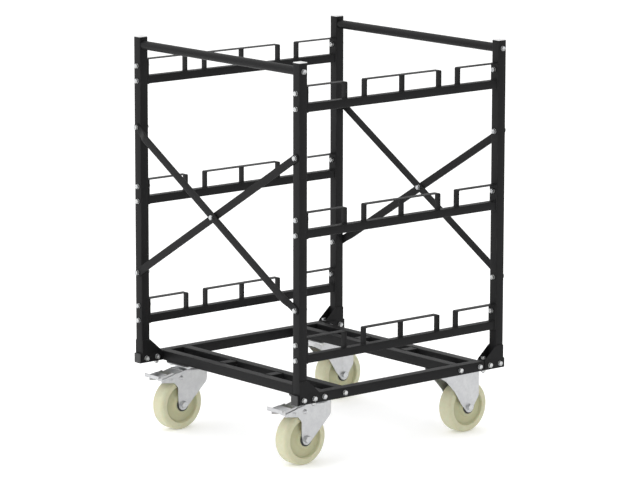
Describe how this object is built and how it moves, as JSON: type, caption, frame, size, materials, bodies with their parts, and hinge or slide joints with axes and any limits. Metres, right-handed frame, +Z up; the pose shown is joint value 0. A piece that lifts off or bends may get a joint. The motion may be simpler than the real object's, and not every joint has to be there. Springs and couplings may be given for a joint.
{
  "type": "slotted rail rack trolley",
  "caption": "Tall open rack trolley: black tube frame with slotted rails on both sides, cross-braced ends, push bars, nylon wheels on fixed and braked swivel casters.",
  "frame": {"origin": "on the floor, under the middle of the frame", "axes": "+X to the right-hand posts, +Y to the fixed casters at the rear end, +Z up; the braked swivel casters are at the -Y end"},
  "size_m": [0.8008, 0.8558, 1.2195],
  "materials": {
    "black_paint": "satin black powder coat",
    "zinc": "bright zinc plated pressed steel",
    "bolt_zinc": "bright zinc plated hardware",
    "nylon": "cast cream nylon",
    "hub_black": "matte",
    "plug_black": "matte",
    "cap_grey": "matte"
  },
  "bodies": {
    "frame": {"axle_rear_left": "zinc", "axle_rear_right": "zinc", "base_bolts": "bolt_zinc", "beam_end_plugs": "plug_black", "brace_bolts": "bolt_zinc", "brace_flat_front": "black_paint", "brace_flat_rear": "black_paint", "brace_tube_front": "black_paint", "brace_tube_rear": "black_paint", "caster_pads": "black_paint", "caster_screws": "bolt_zinc", "cross_beam_front_inner": "black_paint", "cross_beam_front_outer": "black_paint", "cross_beam_rear_inner": "black_paint", "cross_beam_rear_outer": "black_paint", "deck_stringers": "black_paint", "fixed_fork_left": "zinc", "fixed_fork_right": "zinc", "foot_brackets_front": "black_paint", "foot_brackets_rear": "black_paint", "post_front_left": "black_paint", "post_front_right": "black_paint", "post_rear_left": "black_paint", "post_rear_right": "black_paint", "post_top_caps": "cap_grey", "push_bar_bolts": "bolt_zinc", "push_bar_front": "black_paint", "push_bar_rear": "black_paint", "rail_bolts": "bolt_zinc", "rail_low_left": "black_paint", "rail_low_right": "black_paint", "rail_middle_left": "black_paint", "rail_middle_right": "black_paint", "rail_top_left": "black_paint", "rail_top_right": "black_paint", "side_beam_left": "black_paint", "side_beam_right": "black_paint", "stop_loops_low_left": "black_paint", "stop_loops_low_right": "black_paint", "stop_loops_middle_left": "black_paint", "stop_loops_middle_right": "black_paint", "stop_loops_top_left": "black_paint", "stop_loops_top_right": "black_paint", "swivel_plate_left": "zinc", "swivel_plate_right": "zinc"},
    "swivel_left": {"swivel_fork_left": "zinc", "axle_front_left": "zinc"},
    "pedal_left": {"brake_pedal_left": "zinc"},
    "wheel_front_left": {"wheel_front_left": "nylon", "hub_bush_front_left": "hub_black"},
    "wheel_rear_left": {"wheel_rear_left": "nylon", "hub_bush_rear_left": "hub_black"},
    "swivel_right": {"swivel_fork_right": "zinc", "axle_front_right": "zinc"},
    "pedal_right": {"brake_pedal_right": "zinc"},
    "wheel_front_right": {"wheel_front_right": "nylon", "hub_bush_front_right": "hub_black"},
    "wheel_rear_right": {"wheel_rear_right": "nylon", "hub_bush_rear_right": "hub_black"}
  },
  "joints": [
    {"name": "swivel_left_turn", "type": "hinge", "parent": "frame", "child": "swivel_left", "pos_m": [-0.295, -0.272, 0.19], "axis": [0, 0, 1], "continuous": true},
    {"name": "swivel_right_turn", "type": "hinge", "parent": "frame", "child": "swivel_right", "pos_m": [0.295, -0.272, 0.19], "axis": [0, 0, 1], "continuous": true},
    {"name": "wheel_front_left_roll", "type": "hinge", "parent": "swivel_left", "child": "wheel_front_left", "pos_m": [-0.295, -0.324, 0.08], "axis": [1, 0, 0], "continuous": true},
    {"name": "wheel_rear_left_roll", "type": "hinge", "parent": "frame", "child": "wheel_rear_left", "pos_m": [-0.295, 0.33, 0.08], "axis": [1, 0, 0], "continuous": true},
    {"name": "pedal_left_press", "type": "hinge", "parent": "swivel_left", "child": "pedal_left", "pos_m": [-0.295, -0.369, 0.163], "axis": [1, 0, 0], "range_deg": [0, 12]},
    {"name": "wheel_front_right_roll", "type": "hinge", "parent": "swivel_right", "child": "wheel_front_right", "pos_m": [0.295, -0.324, 0.08], "axis": [1, 0, 0], "continuous": true},
    {"name": "wheel_rear_right_roll", "type": "hinge", "parent": "frame", "child": "wheel_rear_right", "pos_m": [0.295, 0.33, 0.08], "axis": [1, 0, 0], "continuous": true},
    {"name": "pedal_right_press", "type": "hinge", "parent": "swivel_right", "child": "pedal_right", "pos_m": [0.295, -0.369, 0.163], "axis": [1, 0, 0], "range_deg": [0, 12]}
  ]
}
